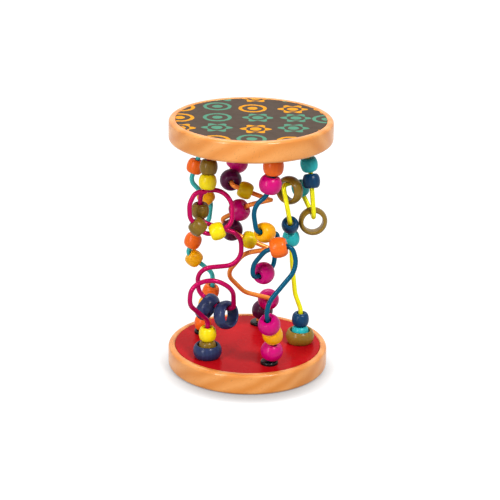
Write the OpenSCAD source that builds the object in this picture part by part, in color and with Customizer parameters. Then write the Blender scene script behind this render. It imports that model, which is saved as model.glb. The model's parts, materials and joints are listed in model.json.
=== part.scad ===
// Bead maze: two wooden plates held apart by five bent wires, with beads and rings threaded on them.
// Origin: centre of the underside of the base plate. +Z is up, -Y is the front.

/* [Plates] */
// Diameter of the two wooden plates
plate_d = 120; // [112:1:135]
// Thickness of each plate
plate_t = 16; // [14:0.5:20]
// Radius of the rounded outer edges of a plate
plate_round = 2.5; // [1:0.5:4]
// Clear height between the two plates
cage_h = 161; // [156:1:180]
// Width of the bare wooden rim round each panel
rim_w = 5; // [3:0.5:8]
// Slope that breaks the inner edge of the rim
rim_break = 0.6; // [0.2:0.1:1]

/* [Panels] */
// Thickness of the four round panels
panel_t = 1.5; // [1:0.1:2.5]
// How far a panel lies below the rim round it
panel_inset = 0.3; // [0:0.1:0.8]
// Gap between the edge of a panel and the rim
panel_gap = 0.2; // [0.1:0.1:0.5]

/* [Wires] */
// Diameter of the steel wire with its paint
wire_d = 3.5; // [3:0.1:4]
// Radius of the circle on which the five wires enter a plate
wire_circle_r = 40; // [38:0.5:42]
// Turn of that circle, from the right towards the back
wire_circle_turn = 6; // [0:1:14]
// Depth of the wire ends below a panel
wire_sunk = 10; // [8:0.5:12]
// Gap round a wire in its hole, filled with glue
wire_fit = 0.1; // [0.05:0.05:0.2]

/* [Bushes] */
// Diameter of the flange that shows on a panel
bush_d = 13; // [11:0.5:14]
// Height of the flange
bush_h = 2.5; // [2:0.25:3]
// Diameter of the spigot in the plate
spigot_d = 8; // [6:0.5:10]
// Depth of the spigot below the panel
spigot_h = 5; // [3:0.5:7]
// Rounding of the flange's rim
bush_round = 1.2; // [0.5:0.1:1.5]
// Gap round the spigot in its hole
spigot_fit = 0.1; // [0.05:0.05:0.2]

/* [Barrel beads] */
// Diameter of a barrel bead at its middle
barrel_d = 13; // [11:0.5:13.5]
// Length of a barrel bead
barrel_l = 10.5; // [9:0.25:11]
// Radius of the swell along a barrel bead
barrel_crown = 10; // [8:0.5:20]
// Diameter of a barrel bead's flat ends
barrel_end_d = 9; // [7:0.5:10]

/* [Drum beads] */
// Diameter of a drum bead at its middle
drum_d = 15; // [13.5:0.5:15.5]
// Length of a drum bead
drum_l = 12; // [10:0.5:12.5]
// Radius of the swell along a drum bead
drum_crown = 11.5; // [9:0.5:20]
// Diameter of a drum bead's flat ends
drum_end_d = 10.4; // [8:0.2:11]

/* [Round beads] */
// Diameter of a round bead
round_d = 16.5; // [14:0.5:17]
// Length of a round bead between its flats
round_l = 12; // [10:0.5:12.5]

/* [Rings] */
// Outer diameter of a ring
ring_d = 21.5; // [19:0.5:22]
// Length of a ring
ring_l = 10; // [7:0.5:10.5]
// Bore of a ring
ring_bore = 14.8; // [14.4:0.1:15.6]
// Radius of the swell along a ring's outside
ring_crown = 7.5; // [6:0.5:12]

/* [Bores and seats] */
// Bore of a barrel, drum or round bead
bead_bore = 5.2; // [4.8:0.1:5.4]
// Slope that breaks the mouth of a bore
bore_break = 0.6; // [0.3:0.1:0.8]
// Gap between a threaded piece and what it rests on
seat_gap = 0.3; // [0.2:0.05:0.4]

/* [Hidden] */
$fn = 64;

// Heights of the faces that carry the other pieces
base_panel_z = plate_t - panel_inset;
top_plate_z = plate_t + cage_h;
top_panel_z = top_plate_z + panel_inset;
recess_h = panel_t + panel_inset;
recess_d = plate_d - 2 * rim_w;

// A straight ends this far inside a bend, and the bend is this much fuller, so that both fuse
lap = 0.15;
lap_d = 0.04;

function hole_angle(i) = wire_circle_turn + 72 * i;
function hole(i, height, bend) =
    [wire_circle_r * cos(hole_angle(i)), wire_circle_r * sin(hole_angle(i)), height, bend];

// Bend tables. Each row is [x, y, height, bend radius] at the point where two straights would meet.
// Heights are percent of the clear height between the plates, counted from the base plate's inner face.
magenta_bends = [
    hole(3, 94.4, 15),
    [-31, -30, 80.7, 3],
    [-39, -33, 81.7, 6],
    [-43.5, -34, 75.8, 14],
    [-43, -34, 69, 9],
    [-31, -35, 61.5, 7],
    [-13, -33, 65.8, 9],
    [-12, -26, 82, 14],
    [-36, -21, 79.5, 7],
    [-36, -20, 64.8, 8],
    [-6, -21, 59, 11],
    [-5.5, -22, 44.7, 13],
    [-38, -20, 41.9, 12],
    [-37, -14, 28.6, 8],
    [-22, -21, 23, 6],
    [-10.5, -29, 24.8, 6],
    [-11, -40, 37, 13],
    [-26.5, -42, 42.8, 18],
    [-41.8, -44, 38.6, 11],
    [-42.6, -44, 29.8, 10],
    hole(3, 18, 8)
];
turquoise_bends = [
    hole(2, 95.7, 12),
    [-44.5, 17, 76.4, 7],
    [-29, 17, 66.1, 6],
    [-30.5, 17, 57.1, 8],
    [-40, 17, 50.9, 8],
    [-46.5, 17, 40.7, 4],
    [-27.5, 17, 31.1, 8],
    [-27.3, 17, 24.8, 10],
    hole(2, 8.1, 12)
];
orange_bends = [
    hole(1, 96.9, 5),
    [-16.5, 33.5, 77, 4],
    [-13, 12, 75.5, 4],
    [15.5, 11, 68.9, 5.5],
    [15.5, -1, 71.7, 5.5],
    [0, -1, 69.1, 8],
    [-20, 5, 60.9, 4],
    [-19.5, 12.5, 57.1, 3],
    [-8.5, -6.6, 55.5, 4],
    [23, -6, 46.9, 4.8],
    [23, -16, 51.9, 4.8],
    [-3.5, -14.5, 48.6, 14],
    [-16.8, -3, 35.4, 16],
    [-3, 10, 23.3, 20],
    [16.5, 20.5, 17.7, 4],
    [14.5, 38, 12.4, 3],
    hole(1, 2.5, 3)
];
blue_bends = [
    hole(4, 91.9, 10),
    [12.5, -36, 81.1, 15],
    [2, -35, 75.2, 14],
    [5, -37, 64, 5],
    [21, -20.5, 59.6, 5],
    [18, -19, 42.9, 5],
    [2.8, -37, 41, 6],
    [3, -38, 48.4, 15],
    [12, -43, 56.8, 12],
    [30.5, -44, 59.6, 6],
    [35.5, -46.5, 49.7, 17],
    [15, -52, 34.2, 18],
    [13.2, -52.5, 27.3, 13],
    [20, -37.5, 11.5, 8],
    hole(4, 1.9, 3)
];
yellow_bends = [
    hole(0, 97.5, 8),
    [44.4, 3.5, 83.5, 15],
    [47.5, -5.5, 63.6, 5],
    [46.5, 9.5, 63, 5],
    [39.4, 15.5, 71, 8],
    [34.8, 14, 78, 4],
    [24.2, 0.5, 78.3, 4],
    [29.5, -8.5, 63.4, 4],
    [30.6, 4.5, 56.2, 6],
    [32.5, 7, 38.5, 30],
    [35.3, 7, 23.6, 15],
    hole(0, 16.5, 10)
];

// Threaded pieces, one row each: [colour, kind, leg, place, lift]. A leg runs between two bends, counted
// from the top. The place is the share of the leg at the piece's middle, or one of these words:
// "bush" stands on the bush of the base, "under" hangs below the bush of the top plate, "panel" lies on the
// base panel, "on" and "before" follow the piece of the row above towards the top of the wire.
// The lift raises a ring that hangs in a bend of the wire.
magenta_pieces = [
    ["yellow", "barrel", 1, 0.65],
    ["olive", "barrel", 1, "before"],
    ["olive", "barrel", 5, 0.48],
    ["yellow", "barrel", 6, 0.43],
    ["olive", "barrel", 9, 0.63],
    ["navy", "ring", 14, 0.6],
    ["navy", "ring", 15, 0.43],
    ["olive", "barrel", 21, "bush"],
    ["yellow", "barrel", 21, "on"],
    ["navy", "ring", 21, "panel"]
];
turquoise_pieces = [
    ["orange", "barrel", 1, 0.64],
    ["amber", "barrel", 2, 0.75],
    ["orange", "barrel", 5, 0.38],
    ["amber", "barrel", 6, 0.26],
    ["orange", "barrel", 8, 0.2],
    ["amber", "barrel", 8, 0.6],
    ["orange", "barrel", 9, "bush"]
];
orange_pieces = [
    ["magenta", "round", 1, 0.74],
    ["plum", "round", 2, 0.54],
    ["yellow", "barrel", 3, 0.33],
    ["magenta", "round", 6, 0.385],
    ["plum", "round", 8, 0.58],
    ["yellow", "barrel", 9, 0.27],
    ["magenta", "round", 15, 0.51],
    ["plum", "round", 16, 0.55]
];
blue_pieces = [
    ["orange", "drum", 0, "under"],
    ["magenta", "round", 1, 0.52],
    ["amber", "drum", 4, 0.39],
    ["orange", "drum", 9, 0.5],
    ["magenta", "round", 6, 0.47],
    ["amber", "drum", 13, 0.75],
    ["magenta", "round", 13, "before"],
    ["magenta", "round", 14, 0.55]
];
yellow_pieces = [
    ["turquoise", "barrel", 1, 0.67],
    ["navy", "barrel", 2, 0.155],
    ["olive", "ring", 3, 0.565, 1.5],
    ["turquoise", "barrel", 5, 0.45],
    ["olive", "ring", 6, 0.53],
    ["navy", "barrel", 8, 0.5],
    ["turquoise", "barrel", 9, 0.25],
    ["turquoise", "barrel", 12, "bush"],
    ["navy", "barrel", 12, "on"],
    ["olive", "ring", 12, "panel"]
];

wire_names = ["magenta", "turquoise", "orange", "blue", "yellow"];
all_bends = [magenta_bends, turquoise_bends, orange_bends, blue_bends, yellow_bends];
all_pieces = [magenta_pieces, turquoise_pieces, orange_pieces, blue_pieces, yellow_pieces];

function two_digits(n) = n < 10 ? str("0", n) : str(n);
function piece_name(w, i) = str(
    wire_names[w], "_wire_", two_digits(i + 1), "_", all_pieces[w][i][0], "_", all_pieces[w][i][1]);

// Route of a wire: both ends sunk in the plates, with the bends between them at their real heights
function stretched(row) = [row[0], row[1], plate_t + row[2] * cage_h / 100];
function route(bends) = [
    [bends[0][0], bends[0][1], top_panel_z + wire_sunk],
    for (row = bends) stretched(row),
    [bends[len(bends) - 1][0], bends[len(bends) - 1][1], base_panel_z - wire_sunk]
];

function unit(v) = v / norm(v);
function leg_dir(points, i) = unit(points[i + 1] - points[i]);
function turn(points, i) = acos(max(-1, min(1, leg_dir(points, i - 1) * leg_dir(points, i))));

// Length that the bend at point i takes from each of the two straights that meet there
function bend_cut(points, bends, i) =
    i == 0 || i == len(points) - 1 ? 0 : bends[i - 1][3] * tan(turn(points, i) / 2);

// Where the straight itself stops: a little inside the bend
function reach(points, bends, i) =
    i == 0 || i == len(points) - 1 ? 0 : bend_cut(points, bends, i) - lap;

module placed(x, y, z, origin) {
    multmatrix([
        [x[0], y[0], z[0], origin[0]],
        [x[1], y[1], z[1], origin[1]],
        [x[2], y[2], z[2], origin[2]],
        [0, 0, 0, 1]
    ]) children();
}

module straight(from, to) {
    run = to - from;
    z = unit(run);
    x = unit(cross(abs(z[2]) > 0.9 ? [0, 1, 0] : [0, 0, 1], z));
    placed(x, cross(z, x), z, from) cylinder(d = wire_d, h = norm(run));
}

module bend(points, bends, i) {
    radius = bends[i - 1][3];
    before = leg_dir(points, i - 1);
    axis = unit(cross(before, leg_dir(points, i)));
    inward = cross(axis, before);
    centre = points[i] - before * bend_cut(points, bends, i) + inward * radius;
    placed(-inward, before, axis, centre)
        rotate_extrude(angle = turn(points, i)) translate([radius, 0]) circle(d = wire_d + lap_d);
}

module wire(bends) {
    points = route(bends);
    for (i = [0 : len(points) - 2]) {
        along = leg_dir(points, i);
        straight(points[i] + along * reach(points, bends, i), points[i + 1] - along * reach(points, bends, i + 1));
    }
    for (i = [1 : len(points) - 2]) bend(points, bends, i);
}

// Distance of a piece's middle from the start of its leg
function piece_l(kind) =
    kind == "barrel" ? barrel_l : kind == "drum" ? drum_l : kind == "round" ? round_l : ring_l;
function stack_step(rows, i) = (piece_l(rows[i - 1][1]) + piece_l(rows[i][1])) / 2 + seat_gap;
function from_top_end(rows, i) = wire_sunk + bush_h + seat_gap + piece_l(rows[i][1]) / 2;
function from_base_end(rows, i, height) = wire_sunk + height + seat_gap + piece_l(rows[i][1]) / 2;
function place(rows, points, i) =
    let (word = rows[i][3], length = norm(points[rows[i][2] + 1] - points[rows[i][2]]))
    word == "bush" ? length - from_base_end(rows, i, bush_h) :
    word == "panel" ? length - from_base_end(rows, i, 0) :
    word == "under" ? from_top_end(rows, i) :
    word == "on" || word == "before" ? place(rows, points, i - 1) - stack_step(rows, i) :
    word * length;

// A hanging ring lies below the wire, with its bore on the wire
function is_hung(row) = row[1] == "ring" && row[3] != "panel";
function lift(row) = len(row) > 4 ? row[4] : 0;
function sink(row) = is_hung(row) ? (ring_bore - wire_d) / 2 - seat_gap - lift(row) : 0;
function below(along) =
    abs(along[2]) > 0.99 ? unit(cross([0, 1, 0], along)) : unit([0, 0, -1] + along[2] * along);
function piece_axis(w, i) = leg_dir(route(all_bends[w]), all_pieces[w][i][2]);
function piece_centre(w, i) =
    let (points = route(all_bends[w]), row = all_pieces[w][i], along = piece_axis(w, i))
    points[row[2]] + along * place(all_pieces[w], points, i) + below(along) * sink(row);

// Half section of a bore with broken mouths
module bore_section(bore, length) {
    translate([0, -length]) square([bore / 2, 2 * length]);
    for (side = [0, 1]) mirror([0, side]) polygon([
        [0, length / 2 - bore_break],
        [bore / 2, length / 2 - bore_break],
        [bore / 2 + 2 * bore_break, length / 2 + bore_break],
        [0, length / 2 + bore_break]
    ]);
}

module band(width, length) {
    translate([0, -length / 2]) square([width, length]);
}

// A bead with a swell along it and round shoulders down to its flat ends
module swelled_bead(diameter, length, crown, end_d) {
    rotate_extrude() difference() {
        intersection() {
            translate([diameter / 2 - crown, 0]) circle(r = crown);
            circle(r = norm([end_d, length]) / 2);
            band(diameter, length);
        }
        bore_section(bead_bore, length);
    }
}

module barrel_bead() swelled_bead(barrel_d, barrel_l, barrel_crown, barrel_end_d);
module drum_bead() swelled_bead(drum_d, drum_l, drum_crown, drum_end_d);

module round_bead() {
    rotate_extrude() difference() {
        intersection() {
            circle(d = round_d);
            band(round_d, round_l);
        }
        bore_section(bead_bore, round_l);
    }
}

module ring() {
    rotate_extrude() difference() {
        intersection() {
            translate([ring_d / 2 - ring_crown, 0]) circle(r = ring_crown);
            band(ring_d, ring_l);
        }
        bore_section(ring_bore, ring_l);
    }
}

module threaded(w, i) {
    z = piece_axis(w, i);
    x = below(z);
    placed(x, cross(z, x), z, piece_centre(w, i)) {
        if (all_pieces[w][i][1] == "barrel") barrel_bead();
        if (all_pieces[w][i][1] == "drum") drum_bead();
        if (all_pieces[w][i][1] == "round") round_bead();
        if (all_pieces[w][i][1] == "ring") ring();
    }
}

module at_holes() {
    for (i = [0 : 4]) rotate([0, 0, hole_angle(i)]) translate([wire_circle_r, 0, 0]) children();
}

// The top plate and its fittings are those of the base, turned over
module at_top() {
    translate([0, 0, 2 * plate_t + cage_h]) mirror([0, 0, 1]) children();
}

module rounded_section() {
    difference() {
        square([plate_d / 2, plate_t]);
        for (side = [0, 1]) translate([plate_d / 2, side * plate_t]) mirror([0, side]) difference() {
            translate([-plate_round, 0]) square(plate_round);
            translate([-plate_round, plate_round]) circle(r = plate_round);
        }
    }
}

// Half section of one recess, with its depth counted down from the plate's face
module recess_section() {
    polygon([
        [0, -recess_h],
        [recess_d / 2, -recess_h],
        [recess_d / 2, -rim_break],
        [recess_d / 2 + 2 * rim_break, rim_break],
        [0, rim_break]
    ]);
}

module plate() {
    difference() {
        rotate_extrude() difference() {
            rounded_section();
            translate([0, plate_t]) recess_section();
            mirror([0, 1]) recess_section();
        }
        at_holes() {
            translate([0, 0, base_panel_z - spigot_h]) cylinder(d = spigot_d + 2 * spigot_fit, h = plate_t);
            translate([0, 0, base_panel_z - wire_sunk]) cylinder(d = wire_d + 2 * wire_fit, h = plate_t);
        }
    }
}

module panel() {
    cylinder(d = recess_d - 2 * panel_gap, h = panel_t);
}

module inner_panel() {
    difference() {
        translate([0, 0, base_panel_z - panel_t]) panel();
        at_holes() translate([0, 0, base_panel_z - 2 * panel_t])
            cylinder(d = spigot_d + 2 * spigot_fit, h = 3 * panel_t);
    }
}

module bush() {
    rotate_extrude() difference() {
        union() {
            square([bush_d / 2, bush_h - bush_round]);
            square([bush_d / 2 - bush_round, bush_h]);
            translate([bush_d / 2 - bush_round, bush_h - bush_round]) circle(r = bush_round);
            translate([0, -spigot_h]) square([spigot_d / 2, spigot_h + bush_h / 2]);
        }
        translate([0, -2 * spigot_h]) square([wire_d / 2 + wire_fit, 4 * spigot_h]);
    }
}

module bushes() {
    at_holes() translate([0, 0, base_panel_z]) bush();
}

module base_plate() color("burlywood") plate();
module base_inner_panel() color("firebrick") inner_panel();
module base_outer_panel() color("dimgray") translate([0, 0, panel_inset]) panel();
module base_bushes() color("black") bushes();
module top_plate() color("burlywood") at_top() plate();
module top_inner_panel() color("firebrick") at_top() inner_panel();
module top_outer_panel() color("dimgray") at_top() translate([0, 0, panel_inset]) panel();
module top_bushes() color("black") at_top() bushes();
module magenta_wire() color("mediumvioletred") wire(magenta_bends);
module turquoise_wire() color("mediumturquoise") wire(turquoise_bends);
module orange_wire() color("darkorange") wire(orange_bends);
module blue_wire() color("steelblue") wire(blue_bends);
module yellow_wire() color("yellow") wire(yellow_bends);

base_plate();
base_inner_panel();
base_outer_panel();
base_bushes();
top_plate();
top_inner_panel();
top_outer_panel();
top_bushes();
magenta_wire();
turquoise_wire();
orange_wire();
blue_wire();
yellow_wire();

// Paint of the threaded pieces
paints = [
    ["yellow", "gold"],
    ["olive", "olive"],
    ["navy", "darkslateblue"],
    ["orange", "orangered"],
    ["amber", "orange"],
    ["magenta", "deeppink"],
    ["plum", "indigo"],
    ["turquoise", "turquoise"]
];
function paint(name) = [for (row = paints) if (row[0] == name) row[1]][0];

for (w = [0 : 4]) for (i = [0 : len(all_pieces[w]) - 1])
    color(paint(all_pieces[w][i][0])) threaded(w, i);
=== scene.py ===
# Bead maze: two beech plates held apart by five bent and enamelled wires, with beads and rings on them.
import json
import math

import bmesh
import bpy
from mathutils import Matrix, Vector


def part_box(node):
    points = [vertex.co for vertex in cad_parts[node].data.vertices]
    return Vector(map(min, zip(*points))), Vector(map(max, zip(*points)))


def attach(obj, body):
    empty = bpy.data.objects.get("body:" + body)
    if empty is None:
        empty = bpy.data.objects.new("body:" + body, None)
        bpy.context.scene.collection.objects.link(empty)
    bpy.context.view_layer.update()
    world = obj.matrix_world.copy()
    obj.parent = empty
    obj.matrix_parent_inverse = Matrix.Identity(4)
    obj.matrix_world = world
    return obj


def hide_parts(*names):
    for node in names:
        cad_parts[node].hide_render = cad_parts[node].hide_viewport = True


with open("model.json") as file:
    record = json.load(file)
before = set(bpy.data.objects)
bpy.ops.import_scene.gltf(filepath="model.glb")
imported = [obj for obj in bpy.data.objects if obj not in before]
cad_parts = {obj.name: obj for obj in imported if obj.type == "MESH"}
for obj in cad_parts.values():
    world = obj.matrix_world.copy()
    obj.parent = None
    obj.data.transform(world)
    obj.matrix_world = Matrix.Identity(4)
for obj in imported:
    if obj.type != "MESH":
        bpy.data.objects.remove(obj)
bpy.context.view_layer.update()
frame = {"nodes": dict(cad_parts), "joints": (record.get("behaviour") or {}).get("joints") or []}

# Plates. Two thick discs of solid beech, turned on a lathe: softly rounded edges, and a shallow round
# recess in each face that takes a panel. They are sanded and sprayed with clear lacquer, and the upper
# one is like the base. Sizes and places of the toy are in mm, and MM turns them to metres.
MM = 0.001
PLATE_R = 60
PLATE_T = 16
PLATE_ROUND = 2.5
PLATE_ROUND_STEPS = 8
PLATE_SIDES = 128
RECESS_R = 55
RECESS_H = 1.8
RIM_BREAK = 0.6
CAGE_H = 161
TOP_PLATE_Z = PLATE_T + CAGE_H
EDGE_BREAK = 0.15
BREAK_STEPS = 2
CORNER_OVER = math.radians(30)
SMOOTH_UNDER = math.radians(40)
NEAR = 0.01
WELD = 0.001 * MM


def outline(corners):
    """A bmesh with one open run of edges through (radius, height) corners."""
    bm = bmesh.new()
    run = [bm.verts.new((radius * MM, 0, height * MM)) for radius, height in corners]
    for start, end in zip(run, run[1:]):
        bm.edges.new((start, end))
    return bm


def turn(bm, sides):
    """Turns an outline all the way round Z, closes seam and poles, and points the faces outwards."""
    bmesh.ops.spin(
        bm, geom=bm.verts[:] + bm.edges[:], cent=(0, 0, 0), axis=(0, 0, 1),
        angle=math.tau, steps=sides, use_merge=True)
    bmesh.ops.remove_doubles(bm, verts=bm.verts, dist=WELD)
    bmesh.ops.recalc_face_normals(bm, faces=bm.faces)


def mirror_and_turn(bm, sides):
    """Mirrors a half outline at height 0, then turns it all the way round Z."""
    bmesh.ops.mirror(bm, geom=bm.verts[:] + bm.edges[:], axis="Z", merge_dist=WELD)
    turn(bm, sides)


def soften(bm, edges, width, steps):
    """Rounds edges off."""
    bmesh.ops.bevel(
        bm, geom=edges, offset=width * MM, offset_type="OFFSET", affect="EDGES",
        segments=steps, profile=0.5, material=-1, clamp_overlap=True)


def outer_rims(bm, radius, height):
    """The edges that run round at a radius, that far above or below height 0."""
    def on_rim(v):
        return v.co.xy.length > (radius - NEAR) * MM and abs(v.co.z) > (height - NEAR) * MM
    return [edge for edge in bm.edges if all(on_rim(v) for v in edge.verts)]


def sharp_corners(bm):
    return [edge for edge in bm.edges if edge.calc_face_angle(0) > CORNER_OVER]


def finish_piece(bm, name, material, body, node):
    """Makes the bmesh an object that rides on a body and stands for a CAD node."""
    mesh = bpy.data.meshes.new(name)
    bm.to_mesh(mesh)
    bm.free()
    mesh.shade_smooth()
    mesh.set_sharp_from_angle(angle=SMOOTH_UNDER)
    mesh.materials.append(material)
    made = bpy.data.objects.new(name, mesh)
    bpy.context.scene.collection.objects.link(made)
    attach(made, body)
    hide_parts(node)


def linear(hex_colour):
    """An sRGB hex colour as linear red, green, blue and alpha."""
    parts = [int(hex_colour[i:i + 2], 16) / 255 for i in (1, 3, 5)]
    return [p / 12.92 if p <= 0.04045 else ((p + 0.055) / 1.055) ** 2.4 for p in parts] + [1]


def repeats(size):
    """The texture scale at which a pattern repeats about once in a size."""
    return 1 / (size * MM)


def start_material(name, settings):
    """A new material with its Principled shader set, and that shader."""
    material = bpy.data.materials.new(name)
    material.use_nodes = True
    principled = material.node_tree.nodes["Principled BSDF"]
    for key, value in settings.items():
        principled.inputs[key].default_value = value
    return material, principled


def add(owner, kind, inputs, **settings):
    """Adds one shader node. An input that is a socket is linked, any other value is set."""
    tree = owner.node_tree
    node = tree.nodes.new("ShaderNode" + kind)
    for setting, value in settings.items():
        setattr(node, setting, value)
    for key, value in inputs.items():
        if isinstance(value, bpy.types.NodeSocket):
            tree.links.new(value, node.inputs[key])
        else:
            node.inputs[key].default_value = value
    return node


def plug_in(owner, node, sockets):
    """Links sockets to the named inputs of a node that is there already."""
    for key, socket in sockets.items():
        owner.node_tree.links.new(socket, node.inputs[key])


# Beech under clear lacquer: warm orange-brown wood with soft, broad growth rings about 11 mm apart, fine
# fibres and short dark flecks, and a thin gloss on top that lights up on the rounded edges. Fibres and
# flecks are drawn about twice as wide as real ones, so that they show.
GROWTH_GAP = 11
GROWTH_DRIFT_GAP = 30
GROWTH_DRIFT = 9
FIBRE_L = 14
FIBRE_W = 0.9
FLECK_L = 3.2
FLECK_W = 0.7
# How far the toy is moved within the log that its boards are cut from, and how it is turned, in radians.
LOG_PLACE = (12 * MM, 55 * MM, -75 * MM)
LOG_TURN = (0.25, 0.42, 0.5)
# The gap in metres between the rings of a wave texture whose scale is 1.
WAVE_GAP = math.tau / 20

beech, shader = start_material("lacquered_beech", {
    "IOR": 1.5, "Specular IOR Level": 0.15, "Coat Weight": 0.6, "Coat Roughness": 0.2})
spot = add(beech, "TexCoord", {})
log = add(beech, "Mapping", {
    "Vector": spot.outputs["Object"], "Location": LOG_PLACE, "Rotation": LOG_TURN})
drift = add(beech, "TexNoise", {
    "Vector": log.outputs[0], "Scale": repeats(GROWTH_DRIFT_GAP), "Detail": 2})
drift_off = add(beech, "VectorMath", {
    0: drift.outputs["Color"], 1: (0.5, 0.5, 0.5)}, operation="SUBTRACT")
drifted = add(beech, "VectorMath", {
    0: drift_off.outputs[0], 1: (0, GROWTH_DRIFT * MM, GROWTH_DRIFT * MM), 2: log.outputs[0]},
    operation="MULTIPLY_ADD")
growth = add(beech, "TexWave", {
    "Vector": drifted.outputs[0], "Scale": WAVE_GAP * repeats(GROWTH_GAP), "Distortion": 3.5, "Detail": 2,
    "Detail Scale": 0.6}, wave_type="RINGS", rings_direction="X", wave_profile="SIN")
fibre_run = add(beech, "Mapping", {
    "Vector": drifted.outputs[0], "Scale": (repeats(FIBRE_L), repeats(FIBRE_W), repeats(FIBRE_W))})
fibres = add(beech, "TexNoise", {
    "Vector": fibre_run.outputs[0], "Scale": 1, "Detail": 3, "Roughness": 0.6})
fleck_run = add(beech, "Mapping", {
    "Vector": log.outputs[0], "Scale": (repeats(FLECK_L), repeats(FLECK_W), repeats(FLECK_W))})
fleck_noise = add(beech, "TexNoise", {"Vector": fleck_run.outputs[0], "Scale": 1, "Detail": 1})
flecks = add(beech, "MapRange", {
    "Value": fleck_noise.outputs[0], "From Min": 0.64, "From Max": 0.74, "To Max": 0.4})
growth_wood = add(beech, "Mix", {
    0: growth.outputs["Fac"], 6: linear("#F4A658"), 7: linear("#E68E38")}, data_type="RGBA")
fibre_part = add(beech, "MapRange", {
    "Value": fibres.outputs[0], "From Min": 0.35, "From Max": 0.7, "To Max": 0.35})
fibre_wood = add(beech, "Mix", {
    0: fibre_part.outputs[0], 6: growth_wood.outputs[2], 7: linear("#E48C3C")}, data_type="RGBA")
wood = add(beech, "Mix", {
    0: flecks.outputs[0], 6: fibre_wood.outputs[2], 7: linear("#B8743D")}, data_type="RGBA")
satin = add(beech, "MapRange", {"Value": fibres.outputs[0], "To Min": 0.42, "To Max": 0.6})
pores = add(beech, "Bump", {"Strength": 0.12, "Distance": 0.15 * MM, "Height": fibres.outputs[0]})
plug_in(beech, shader, {
    "Base Color": wood.outputs[2], "Roughness": satin.outputs[0], "Normal": pores.outputs[0]})

for plate, plate_z in (("base_plate", 0), ("top_plate", TOP_PLATE_Z)):
    half = PLATE_T / 2
    disc = outline([
        (PLATE_R, 0), (PLATE_R, half), (RECESS_R + RIM_BREAK, half), (RECESS_R, half - RIM_BREAK),
        (RECESS_R, half - RECESS_H), (0, half - RECESS_H)])
    mirror_and_turn(disc, PLATE_SIDES)
    soften(disc, outer_rims(disc, PLATE_R, half), PLATE_ROUND, PLATE_ROUND_STEPS)
    soften(disc, sharp_corners(disc), EDGE_BREAK, BREAK_STEPS)
    bmesh.ops.translate(disc, verts=disc.verts, vec=(0, 0, (plate_z + half) * MM))
    finish_piece(disc, plate + "_beech", beech, "cage", plate)

# Panels. Four round boards, 1.5 mm thick, glued into the recesses just below the rims. The two inner
# ones are sprayed with bright red gloss lacquer, and the five wires pass through them. The lacquer is a
# little cloudy and rippled, as sprayed lacquer is.
CLOUD_GAP = 18
RIPPLE_GAP = 2.5

red_lacquer, shader = start_material("red_gloss_lacquer", {
    "IOR": 1.5, "Specular IOR Level": 0.02, "Coat Weight": 0.06, "Coat Roughness": 0.08})
spot = add(red_lacquer, "TexCoord", {})
cloud = add(red_lacquer, "TexNoise", {
    "Vector": spot.outputs["Object"], "Scale": repeats(CLOUD_GAP), "Detail": 3})
red = add(red_lacquer, "Mix", {
    0: cloud.outputs[0], 6: linear("#C6121C"), 7: linear("#B60B15")}, data_type="RGBA")
waves = add(red_lacquer, "TexNoise", {
    "Vector": spot.outputs["Object"], "Scale": repeats(RIPPLE_GAP), "Detail": 1})
ripple = add(red_lacquer, "Bump", {"Strength": 0.08, "Distance": 0.1 * MM, "Height": waves.outputs[0]})
haze = add(red_lacquer, "MapRange", {"Value": cloud.outputs[0], "To Min": 0.2, "To Max": 0.34})
plug_in(red_lacquer, shader, {
    "Base Color": red.outputs[2], "Roughness": haze.outputs[0], "Normal": ripple.outputs[0]})

# The outer panels are dark brown under a satin varnish, with faint blotches.
BLOTCH_GAP = 6


def brown_board(name):
    """The material of a brown board, its shader, and the sockets of its coordinates and its colour."""
    material, principled = start_material(name, {"IOR": 1.5, "Specular IOR Level": 0.03})
    place = add(material, "TexCoord", {}).outputs["Object"]
    blotches = add(material, "TexNoise", {"Vector": place, "Scale": repeats(BLOTCH_GAP), "Detail": 4})
    brown = add(material, "Mix", {
        0: blotches.outputs[0], 6: linear("#56473C"), 7: linear("#4A3C32")}, data_type="RGBA")
    varnish = add(material, "MapRange", {"Value": blotches.outputs[0], "To Min": 0.38, "To Max": 0.5})
    plug_in(material, principled, {"Base Color": brown.outputs[2], "Roughness": varnish.outputs[0]})
    return material, principled, place, brown.outputs[2]


plain_board = brown_board("plain_brown_board")[0]

# The upper one is screen printed in teal and amber: six-petalled rosettes and hoops with a dot, one in
# each cell of a loose grid of 27 mm, in flat ink with slightly ragged edges. The other sizes of the print
# are shares of a cell.
PRINT_CELL = 27
CELL_LOOSE = 0.2
RAGS_PER_CELL = 14
RAGGED = 0.03
PETALS = 6
PETAL_VALLEY = 0.28
PETAL_TIP = 0.42
HEART_R = 0.2
HOOP_R = 0.34
DOT_R = 0.14
HALF_LINE = 0.05
HOOP_SHARE = 0.45
AMBER_SHARE = 0.42

printed_board, shader, place, ground = brown_board("printed_board")
flat = add(printed_board, "VectorMath", {
    0: place, 1: (repeats(PRINT_CELL), repeats(PRINT_CELL), 0)}, operation="MULTIPLY")
cells = add(printed_board, "TexVoronoi", {
    "Vector": flat.outputs[0], "Scale": 1, "Randomness": CELL_LOOSE}, voronoi_dimensions="2D")
lot = add(printed_board, "SeparateColor", {0: cells.outputs["Color"]})
arm = add(printed_board, "VectorMath", {
    0: flat.outputs[0], 1: cells.outputs["Position"]}, operation="SUBTRACT")
arm_xy = add(printed_board, "SeparateXYZ", {0: arm.outputs[0]})
arm_turn = add(printed_board, "Math", {0: arm_xy.outputs[1], 1: arm_xy.outputs[0]}, operation="ARCTAN2")
rags = add(printed_board, "TexNoise", {"Vector": flat.outputs[0], "Scale": RAGS_PER_CELL, "Detail": 2})
ragged = add(printed_board, "MapRange", {"Value": rags.outputs[0], "To Min": -RAGGED, "To Max": RAGGED})
reach = add(printed_board, "Math", {0: cells.outputs["Distance"], 1: ragged.outputs[0]}, operation="ADD")
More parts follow.
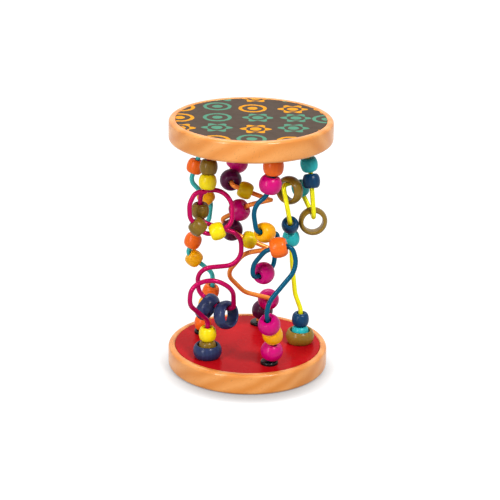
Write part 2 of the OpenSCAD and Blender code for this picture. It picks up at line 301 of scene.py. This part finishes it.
petal_turn = add(printed_board, "Math", {0: arm_turn.outputs[0], 1: PETALS}, operation="MULTIPLY")
petal_wave = add(printed_board, "Math", {0: petal_turn.outputs[0]}, operation="COSINE")
petal_edge = add(printed_board, "MapRange", {
    "Value": petal_wave.outputs[0], "From Min": -1, "To Min": PETAL_VALLEY, "To Max": PETAL_TIP})
petals = add(printed_board, "Math", {0: reach.outputs[0], 1: petal_edge.outputs[0]}, operation="LESS_THAN")
heart = add(printed_board, "Math", {0: reach.outputs[0], 1: HEART_R, 2: HALF_LINE}, operation="COMPARE")
rosette = add(printed_board, "Math", {
    0: petals.outputs[0], 1: heart.outputs[0]}, operation="SUBTRACT", use_clamp=True)
hoop = add(printed_board, "Math", {0: reach.outputs[0], 1: HOOP_R, 2: HALF_LINE}, operation="COMPARE")
dot = add(printed_board, "Math", {0: reach.outputs[0], 1: DOT_R}, operation="LESS_THAN")
hoop_dot = add(printed_board, "Math", {0: hoop.outputs[0], 1: dot.outputs[0]}, operation="MAXIMUM")
is_rosette = add(printed_board, "Math", {0: lot.outputs[0], 1: HOOP_SHARE}, operation="GREATER_THAN")
ink_shape = add(printed_board, "Mix", {
    0: is_rosette.outputs[0], 2: hoop_dot.outputs[0], 3: rosette.outputs[0]}, data_type="FLOAT")
is_teal = add(printed_board, "Math", {0: lot.outputs[1], 1: AMBER_SHARE}, operation="GREATER_THAN")
ink = add(printed_board, "Mix", {
    0: is_teal.outputs[0], 6: linear("#EE9E14"), 7: linear("#569478")}, data_type="RGBA")
print_face = add(printed_board, "Mix", {
    0: ink_shape.outputs[0], 6: ground, 7: ink.outputs[2]}, data_type="RGBA")
plug_in(printed_board, shader, {"Base Color": print_face.outputs[2]})

for panel, panel_material in (
        ("base_inner_panel", red_lacquer), ("top_inner_panel", red_lacquer),
        ("base_outer_panel", plain_board), ("top_outer_panel", printed_board)):
    board = frame["nodes"][panel]
    board.data.materials.clear()
    board.data.materials.append(panel_material)

# Bushes. Ten black plastic bushes, moulded in ABS: a spigot pressed into the plate and a round flange
# that covers the hole in the panel. The wires pass through them. Five stand in a circle on each plate.
HOLES = 5
HOLE_STEP = 360 / HOLES
HOLE_TURN = 6
HOLE_CIRCLE_R = 40
PANEL_INSET = 0.3
BUSH_R = 6.5
BUSH_H = 2.5
BUSH_ROUND = 1.2
BUSH_ROUND_STEPS = 6
BUSH_SIDES = 48
BUSH_BORE_R = 1.85
SPIGOT_R = 4
SPIGOT_H = 5

# Moulded ABS: deep black and glossy, with a skin that is very slightly dimpled.
DIMPLE_GAP = 1.2

black_abs, shader = start_material("black_moulded_abs", {
    "Base Color": linear("#0E0D0F"), "IOR": 1.53, "Specular IOR Level": 0.2})
spot = add(black_abs, "TexCoord", {})
skin = add(black_abs, "TexNoise", {
    "Vector": spot.outputs["Object"], "Scale": repeats(DIMPLE_GAP), "Detail": 2})
gloss = add(black_abs, "MapRange", {"Value": skin.outputs[0], "To Min": 0.16, "To Max": 0.34})
dimples = add(black_abs, "Bump", {"Strength": 0.1, "Distance": 0.08 * MM, "Height": skin.outputs[0]})
plug_in(black_abs, shader, {"Roughness": gloss.outputs[0], "Normal": dimples.outputs[0]})

for bush_set, panel_z, upwards in (
        ("base_bushes", PLATE_T - PANEL_INSET, 1), ("top_bushes", TOP_PLATE_Z + PANEL_INSET, -1)):
    bush = outline([
        (BUSH_BORE_R, -SPIGOT_H), (SPIGOT_R, -SPIGOT_H), (SPIGOT_R, 0), (BUSH_R, 0), (BUSH_R, BUSH_H),
        (BUSH_BORE_R, BUSH_H), (BUSH_BORE_R, -SPIGOT_H)])
    turn(bush, BUSH_SIDES)
    soften(bush, outer_rims(bush, BUSH_R, BUSH_H), BUSH_ROUND, BUSH_ROUND_STEPS)
    bmesh.ops.scale(bush, vec=(1, 1, upwards), verts=bush.verts)
    bmesh.ops.translate(bush, verts=bush.verts, vec=(HOLE_CIRCLE_R * MM, 0, panel_z * MM))
    bmesh.ops.rotate(
        bush, verts=bush.verts, cent=(0, 0, 0), matrix=Matrix.Rotation(math.radians(HOLE_TURN), 3, "Z"))
    bmesh.ops.spin(
        bush, geom=bush.verts[:] + bush.edges[:] + bush.faces[:], cent=(0, 0, 0), axis=(0, 0, 1),
        angle=math.radians(HOLE_STEP * (HOLES - 1)), steps=HOLES - 1, use_duplicate=True)
    bmesh.ops.recalc_face_normals(bush, faces=bush.faces)
    finish_piece(bush, bush_set + "_abs", black_abs, "cage", bush_set)

# Wires. Five steel rods, 3.5 mm thick, bent cold round pegs and coated with baked enamel. Each runs from
# its hole in the top plate to its hole in the base, and its ends are glued in.
WIRE_R = 1.75
WIRE_SUNK = 10
WIRE_SIDES = 20
BEND_STEP = 7
LEAST_BEND_STEPS = 3


def hole(number, height, radius):
    """The bend straight over or under one of the holes, counted round from the right."""
    angle = math.radians(HOLE_TURN + HOLE_STEP * number)
    return HOLE_CIRCLE_R * math.cos(angle), HOLE_CIRCLE_R * math.sin(angle), height, radius


# Each bend is x, y, height and radius, where two straights would meet: the height in percent of the
# clear height between the plates, the rest in mm.
wire_bends = {
    "magenta": [
        hole(3, 94.4, 15), (-31, -30, 80.7, 3), (-39, -33, 81.7, 6), (-43.5, -34, 75.8, 14),
        (-43, -34, 69, 9), (-31, -35, 61.5, 7), (-13, -33, 65.8, 9), (-12, -26, 82, 14),
        (-36, -21, 79.5, 7), (-36, -20, 64.8, 8), (-6, -21, 59, 11), (-5.5, -22, 44.7, 13),
        (-38, -20, 41.9, 12), (-37, -14, 28.6, 8), (-22, -21, 23, 6), (-10.5, -29, 24.8, 6),
        (-11, -40, 37, 13), (-26.5, -42, 42.8, 18), (-41.8, -44, 38.6, 11), (-42.6, -44, 29.8, 10),
        hole(3, 18, 8)],
    "turquoise": [
        hole(2, 95.7, 12), (-44.5, 17, 76.4, 7), (-29, 17, 66.1, 6), (-30.5, 17, 57.1, 8),
        (-40, 17, 50.9, 8), (-46.5, 17, 40.7, 4), (-27.5, 17, 31.1, 8), (-27.3, 17, 24.8, 10),
        hole(2, 8.1, 12)],
    "orange": [
        hole(1, 96.9, 5), (-16.5, 33.5, 77, 4), (-13, 12, 75.5, 4), (15.5, 11, 68.9, 5.5),
        (15.5, -1, 71.7, 5.5), (0, -1, 69.1, 8), (-20, 5, 60.9, 4), (-19.5, 12.5, 57.1, 3),
        (-8.5, -6.6, 55.5, 4), (23, -6, 46.9, 4.8), (23, -16, 51.9, 4.8), (-3.5, -14.5, 48.6, 14),
        (-16.8, -3, 35.4, 16), (-3, 10, 23.3, 20), (16.5, 20.5, 17.7, 4), (14.5, 38, 12.4, 3),
        hole(1, 2.5, 3)],
    "blue": [
        hole(4, 91.9, 10), (12.5, -36, 81.1, 15), (2, -35, 75.2, 14), (5, -37, 64, 5),
        (21, -20.5, 59.6, 5), (18, -19, 42.9, 5), (2.8, -37, 41, 6), (3, -38, 48.4, 15),
        (12, -43, 56.8, 12), (30.5, -44, 59.6, 6), (35.5, -46.5, 49.7, 17), (15, -52, 34.2, 18),
        (13.2, -52.5, 27.3, 13), (20, -37.5, 11.5, 8), hole(4, 1.9, 3)],
    "yellow": [
        hole(0, 97.5, 8), (44.4, 3.5, 83.5, 15), (47.5, -5.5, 63.6, 5), (46.5, 9.5, 63, 5),
        (39.4, 15.5, 71, 8), (34.8, 14, 78, 4), (24.2, 0.5, 78.3, 4), (29.5, -8.5, 63.4, 4),
        (30.6, 4.5, 56.2, 6), (32.5, 7, 38.5, 30), (35.3, 7, 23.6, 15), hole(0, 16.5, 10)]}


def straight_on(rod, end_ring, way):
    """Carries a rod on from the ring of edges at its end, and gives the ring at its new end."""
    grown = bmesh.ops.extrude_edge_only(rod, edges=end_ring)["geom"]
    points = [g for g in grown if isinstance(g, bmesh.types.BMVert)]
    bmesh.ops.translate(rod, verts=points, vec=way * MM)
    return [g for g in grown if isinstance(g, bmesh.types.BMEdge) and all(v in points for v in g.verts)]


def bent_rod(route, radii):
    """A closed round rod along straights from point to point, bent to a radius at each inner point."""
    rod = bmesh.new()
    bmesh.ops.create_circle(rod, cap_ends=False, radius=WIRE_R * MM, segments=WIRE_SIDES)
    bmesh.ops.translate(rod, verts=rod.verts, vec=route[0] * MM)
    end_ring = rod.edges[:]
    place = route[0]
    for corner, after, radius in zip(route[1:], route[2:], radii):
        ahead = (corner - place).normalized()
        onward = (after - corner).normalized()
        bend = ahead.angle(onward)
        cut = radius * math.tan(bend / 2)
        axis = ahead.cross(onward).normalized()
        centre = corner - ahead * cut + axis.cross(ahead) * radius
        end_ring = straight_on(rod, end_ring, corner - ahead * cut - place)
        ring_points = list(dict.fromkeys(v for edge in end_ring for v in edge.verts))
        swept = bmesh.ops.spin(
            rod, geom=end_ring + ring_points, cent=centre * MM, axis=axis, angle=bend,
            steps=max(LEAST_BEND_STEPS, round(math.degrees(bend) / BEND_STEP)))
        end_ring = [g for g in swept["geom_last"] if isinstance(g, bmesh.types.BMEdge)]
        place = corner + onward * cut
    straight_on(rod, end_ring, route[-1] - place)
    bmesh.ops.holes_fill(rod, edges=rod.edges[:], sides=0)
    bmesh.ops.recalc_face_normals(rod, faces=rod.faces)
    return rod


# Baked enamel on steel: an even colour with a slight metallic sheen, a little uneven where it ran. Each
# enamel has two tones.
enamels = {
    "magenta": ("#C20258", "#B20250"), "turquoise": ("#46BAB6", "#38AAAA"),
    "orange": ("#FF9C46", "#FF903A"), "blue": ("#005A7A", "#004C68"), "yellow": ("#FAF620", "#F0EA14")}
RUN_GAP = 5

for colour, bends in wire_bends.items():
    thin, thick = enamels[colour]
    enamel, shader = start_material(colour + "_enamelled_steel", {
        "Metallic": 0.2, "IOR": 1.5, "Specular IOR Level": 0.02, "Coat Weight": 0.14,
        "Coat Roughness": 0.14})
    spot = add(enamel, "TexCoord", {})
    runs = add(enamel, "TexNoise", {
        "Vector": spot.outputs["Object"], "Scale": repeats(RUN_GAP), "Detail": 3})
    coat = add(enamel, "Mix", {
        0: runs.outputs[0], 6: linear(thin), 7: linear(thick)}, data_type="RGBA")
    gloss = add(enamel, "MapRange", {"Value": runs.outputs[0], "To Min": 0.18, "To Max": 0.28})
    ripple = add(enamel, "Bump", {"Strength": 0.06, "Distance": 0.1 * MM, "Height": runs.outputs[0]})
    plug_in(enamel, shader, {
        "Base Color": coat.outputs[2], "Roughness": gloss.outputs[0], "Normal": ripple.outputs[0]})

    route = [Vector((x, y, PLATE_T + height * CAGE_H / 100)) for x, y, height, radius in bends]
    route.insert(0, Vector((*bends[0][:2], TOP_PLATE_Z + PANEL_INSET + WIRE_SUNK)))
    route.append(Vector((*bends[-1][:2], PLATE_T - PANEL_INSET - WIRE_SUNK)))
    wire = bent_rod(route, [radius for x, y, height, radius in bends])
    finish_piece(wire, colour + "_wire_enamel", enamel, "cage", colour + "_wire")

# Beads and rings. 43 pieces of wood, turned from dowel and drilled through, stained and lacquered in
# eight colours. They are threaded on the wires and slide along them.
BEAD_BORE_R = 2.6
BORE_BREAK = 0.6
BEAD_BREAK = 0.2
BEAD_SIDES = 48
SWELL_STEPS = 6
SHOULDER_STEPS = 4
ROUND_R = 8.25
ROUND_L = 12
ROUND_STEPS = 9
RING_R = 10.75
RING_L = 10
RING_BORE_R = 7.4
RING_CROWN = 7.5
RING_STEPS = 7
RING_SIDES = 64


def arc_on(bm, corner, centre_x, angle, steps):
    """Carries the outline on from one corner along an arc round a point at height 0."""
    swept = bmesh.ops.spin(
        bm, geom=[corner], cent=(centre_x * MM, 0, 0), axis=(0, -1, 0), angle=angle, steps=steps)
    return next(g for g in swept["geom_last"] if isinstance(g, bmesh.types.BMVert))


def end_and_bore(bm, corner, bore, half):
    """Ends the outline with the flat end, the broken edge of the bore, and the bore down to height 0."""
    for radius, height in ((bore + BORE_BREAK, half), (bore, half - BORE_BREAK), (bore, 0)):
        after = bm.verts.new((radius * MM, 0, height * MM))
        bm.edges.new((corner, after))
        corner = after


def swelled_bead(radius, length, crown, end_radius):
    """Half the outline of a bead with a swelled side, which round shoulders join to its flat ends."""
    bm = bmesh.new()
    crown_x = radius - crown
    shoulder = math.hypot(end_radius, length / 2)
    meet_x = (crown ** 2 - crown_x ** 2 - shoulder ** 2) / (-2 * crown_x)
    meet_z = math.sqrt(shoulder ** 2 - meet_x ** 2)
    shoulder_turn = math.atan2(length / 2, end_radius) - math.atan2(meet_z, meet_x)
    corner = bm.verts.new((radius * MM, 0, 0))
    corner = arc_on(bm, corner, crown_x, math.atan2(meet_z, meet_x - crown_x), SWELL_STEPS)
    corner = arc_on(bm, corner, 0, shoulder_turn, SHOULDER_STEPS)
    end_and_bore(bm, corner, BEAD_BORE_R, length / 2)
    return bm


def barrel_bead():
    return swelled_bead(radius=6.5, length=10.5, crown=10, end_radius=4.5)


def drum_bead():
    return swelled_bead(radius=7.5, length=12, crown=11.5, end_radius=5.2)


def round_bead():
    bm = bmesh.new()
    corner = bm.verts.new((ROUND_R * MM, 0, 0))
    corner = arc_on(bm, corner, 0, math.asin(ROUND_L / 2 / ROUND_R), ROUND_STEPS)
    end_and_bore(bm, corner, BEAD_BORE_R, ROUND_L / 2)
    return bm


def ring():
    bm = bmesh.new()
    corner = bm.verts.new((RING_R * MM, 0, 0))
    corner = arc_on(bm, corner, RING_R - RING_CROWN, math.asin(RING_L / 2 / RING_CROWN), RING_STEPS)
    end_and_bore(bm, corner, RING_BORE_R, RING_L / 2)
    return bm


# Stained wood under satin lacquer. The stain lets some grain through: fibres along the bore, drawn coarse
# at 1.4 mm so that they show, and growth rings 3 mm apart that show on the ends. Each stain has a lit
# tone, a grain tone and how much of the grain shows. The rings have colours of their own: a greyer navy,
# and a lighter olive that is partly their own colour and partly painted light on the rings.
stains = {
    "yellow": ("#FFE40A", "#ECCE06", 0.4),
    "olive": ("#86681A", "#6E5210", 0.45),
    # The rings' olive is lighter partly as painted light: it stands in for the light that the rings catch.
    "olive_ring": ("#967626", "#7E601A", 0.45),
    "navy": ("#00406A", "#002E50", 0.5),
    "navy_ring": ("#283560", "#182242", 0.6),
    "orange": ("#FF721A", "#F45C0E", 0.4),
    "amber": ("#FFB608", "#F8A002", 0.4),
    "magenta": ("#D40278", "#BE0266", 0.4),
    "plum": ("#561242", "#3C0A2C", 0.5),
    "turquoise": ("#2ABEC2", "#1AA6AA", 0.4)}
DOWEL_FIBRE_L = 9
DOWEL_FIBRE_W = 1.4
DOWEL_GROWTH_GAP = 3
DOWEL_HEART = (21 * MM, 13 * MM, 0)
DOWEL_STRETCH = 40

bead_woods = {}
for stain, (lit, grain, share) in stains.items():
    stained, shader = start_material(stain + "_stained_wood", {
        "IOR": 1.5, "Specular IOR Level": 0.02, "Coat Weight": 0.4, "Coat Roughness": 0.26})
    dowel = add(stained, "Attribute", {}, attribute_name="dowel")
    fibre_run = add(stained, "Mapping", {
        "Vector": dowel.outputs["Vector"],
        "Scale": (repeats(DOWEL_FIBRE_W), repeats(DOWEL_FIBRE_W), repeats(DOWEL_FIBRE_L))})
    fibres = add(stained, "TexNoise", {
        "Vector": fibre_run.outputs[0], "Scale": 1, "Detail": 3, "Roughness": 0.6})
    log = add(stained, "Mapping", {"Vector": dowel.outputs["Vector"], "Location": DOWEL_HEART})
    growth = add(stained, "TexWave", {
        "Vector": log.outputs[0], "Scale": WAVE_GAP * repeats(DOWEL_GROWTH_GAP), "Distortion": 1.5,
        "Detail": 2, "Detail Scale": 1}, wave_type="RINGS", rings_direction="Z", wave_profile="SIN")
    fibre_part = add(stained, "Math", {0: fibres.outputs[0], 1: 0.7}, operation="MULTIPLY")
    grained = add(stained, "Math", {
        0: growth.outputs["Fac"], 1: 0.3, 2: fibre_part.outputs[0]}, operation="MULTIPLY_ADD")
    shown = add(stained, "MapRange", {
        "Value": grained.outputs[0], "From Min": 0.25, "From Max": 0.75, "To Max": share})
    tint = add(stained, "Mix", {0: shown.outputs[0], 6: linear(lit), 7: linear(grain)}, data_type="RGBA")
    satin = add(stained, "MapRange", {"Value": fibres.outputs[0], "To Min": 0.34, "To Max": 0.48})
    pores = add(stained, "Bump", {
        "Strength": 0.1 * share, "Distance": 0.12 * MM, "Height": fibres.outputs[0]})
    plug_in(stained, shader, {
        "Base Color": tint.outputs[2], "Roughness": satin.outputs[0], "Normal": pores.outputs[0]})
    bead_woods[stain] = stained

# A bead's name ends in its colour and its kind, and its joint's axis is the axis of its bore.
bead_shapes = {"barrel": barrel_bead, "drum": drum_bead, "round": round_bead, "ring": ring}
for number, joint in enumerate(frame["joints"]):
    node = joint["child"]
    colour, kind = node.split("_")[-2:]
    bead = bead_shapes[kind]()
    mirror_and_turn(bead, RING_SIDES if kind == "ring" else BEAD_SIDES)
    soften(bead, sharp_corners(bead), BEAD_BREAK, BREAK_STEPS)
    # Each piece is cut from another stretch of the dowel, so that no two show the same grain.
    dowel_place = bead.verts.layers.float_vector.new("dowel")
    for v in bead.verts:
        v[dowel_place] = v.co + Vector((0, 0, number * DOWEL_STRETCH * MM))
    low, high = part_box(node)
    axis_turn = Vector((0, 0, 1)).rotation_difference(Vector(joint["axis"]))
    on_wire = Matrix.Translation((low + high) / 2) @ axis_turn.to_matrix().to_4x4()
    bmesh.ops.transform(bead, verts=bead.verts, matrix=on_wire)
    wood = bead_woods[colour + "_ring" if kind == "ring" else colour]
    finish_piece(bead, node + "_stained", wood, node, node)

# Studio. The toy stands on a wide table of white paper in a white room. Most of the white that the camera
# sees is the paper's own glow, and the rest is lamp light. Close to the base, and most in front of it, that
# glow is darkened into a painted shadow, drawn from ambient occlusion.
TABLE_HALF = 10000
PAPER_GREY = linear("#AAAAAA")
PAPER_LIT = linear("#959595")
PAPER_GLOW = 0.81
WHITE = linear("#FFFFFF")
# The painted shadow: how far it reaches, how deep it is, and the lean of the normal its occlusion is felt
# by.
PAINTED_SHADOW_REACH = 15
PAINTED_SHADOW_DEPTH = 1.2
PAINTED_SHADOW_LEAN_Y = 0.94
PAINTED_SHADOW_LEAN_Z = 0.34
ROOM_LIGHT = 0.24


def shown_rays(owner):
    """1 for rays that show something to the camera, also in a gloss or through glass, and 0 for the rest."""
    rays = add(owner, "LightPath", {})
    bare_or_gloss = add(owner, "Math", {
        0: rays.outputs["Is Camera Ray"], 1: rays.outputs["Is Glossy Ray"]}, operation="MAXIMUM")
    shown_all = add(owner, "Math", {
        0: bare_or_gloss.outputs[0], 1: rays.outputs["Is Transmission Ray"]}, operation="MAXIMUM")
    return shown_all.outputs[0]


paper, shader = start_material("white_paper", {"Base Color": PAPER_GREY, "Roughness": 0.9})
# Painted shadow: ambient occlusion about a normal leant back darkens the paper's glow near the base.
painted_shadow_lean = add(paper, "CombineXYZ", {"Y": PAINTED_SHADOW_LEAN_Y, "Z": PAINTED_SHADOW_LEAN_Z})
painted_shadow_ao = add(paper, "AmbientOcclusion", {
    "Distance": PAINTED_SHADOW_REACH * MM, "Normal": painted_shadow_lean.outputs[0]}, samples=8)
deepened_painted_shadow = add(paper, "Math", {0: painted_shadow_ao.outputs["AO"], 1: PAINTED_SHADOW_DEPTH}, operation="POWER")
painted_shadow_glow_strength = add(paper, "Math", {0: deepened_painted_shadow.outputs[0], 1: PAPER_GLOW}, operation="MULTIPLY")
painted_shadow_glow = add(paper, "Emission", {"Color": WHITE, "Strength": painted_shadow_glow_strength.outputs[0]})
lit_part = add(paper, "BsdfDiffuse", {"Color": PAPER_LIT})
shown_paper = add(paper, "AddShader", {0: painted_shadow_glow.outputs[0], 1: lit_part.outputs[0]})
whole = add(paper, "MixShader", {0: shown_rays(paper), 1: shader.outputs[0], 2: shown_paper.outputs[0]})
plug_in(paper, paper.node_tree.nodes["Material Output"], {"Surface": whole.outputs[0]})

table = bmesh.new()
bmesh.ops.create_grid(table, x_segments=1, y_segments=1, size=TABLE_HALF * MM)
table_mesh = bpy.data.meshes.new("table")
table.to_mesh(table_mesh)
table.free()
table_mesh.materials.append(paper)
table_top = bpy.data.objects.new("table", table_mesh)
bpy.context.scene.collection.objects.link(table_top)

world = bpy.data.worlds.new("white_room")
world.use_nodes = True
bpy.context.scene.world = world
level = add(world, "MapRange", {"Value": shown_rays(world), "To Min": ROOM_LIGHT, "To Max": 1})
room = world.node_tree.nodes["Background"]
room.inputs["Color"].default_value = WHITE
plug_in(world, room, {"Strength": level.outputs[0]})

# Lamps: a softbox at the right front, a tall strip at the left front that draws lines of light on the
# wires, and a wide, even light from above and a little behind, which also lights the back of the toy and
# the far end of the table. Places and sizes are in metres, and powers in watts, or for the sun in watts
# per square metre.
LAMP_AIM = Vector((0, 0, 0.1))

for lamp_name, lamp_kind, lamp_place, lamp_shape, lamp_power in (
        ("key_softbox", "AREA", (1.1, -1.4, 2), {"size": 0.5}, 40),
        ("fill_strip", "AREA", (-1.2, -1.4, 0.9),
         {"shape": "RECTANGLE", "size": 0.25, "size_y": 1.5}, 21),
        ("sky_panel", "SUN", (-0.1, 0.6, 1.2), {"angle": math.radians(35)}, 1.7)):
    lamp = bpy.data.lights.new(lamp_name, lamp_kind)
    lamp.energy = lamp_power
    for setting, value in lamp_shape.items():
        setattr(lamp, setting, value)
    lamp_stand = bpy.data.objects.new(lamp_name, lamp)
    facing = (LAMP_AIM - Vector(lamp_place)).to_track_quat("-Z", "Y")
    lamp_stand.matrix_world = Matrix.Translation(lamp_place) @ facing.to_matrix().to_4x4()
    bpy.context.scene.collection.objects.link(lamp_stand)

# Camera: a long lens, a little over 1.3 m away, looking down at the toy and turned very slightly. Angles
# are in degrees.
LENS = 127.3
SENSOR = 36
CAMERA_AWAY = 1316.9
CAMERA_DOWN = 20.416
CAMERA_ROLL = 0.992
CAMERA_AIM = Vector((0.656, 0, 91.25))
VIEW_END = 50000

lens = bpy.data.cameras.new("camera")
lens.lens = LENS
lens.sensor_width = SENSOR
lens.clip_end = VIEW_END * MM
camera = bpy.data.objects.new("camera", lens)
camera.matrix_world = (
    Matrix.Translation(CAMERA_AIM * MM) @ Matrix.Rotation(math.radians(90 - CAMERA_DOWN), 4, "X")
    @ Matrix.Rotation(math.radians(CAMERA_ROLL), 4, "Z") @ Matrix.Translation((0, 0, CAMERA_AWAY * MM)))
bpy.context.scene.collection.objects.link(camera)
bpy.context.scene.camera = camera
bpy.context.scene.view_settings.view_transform = "Standard"
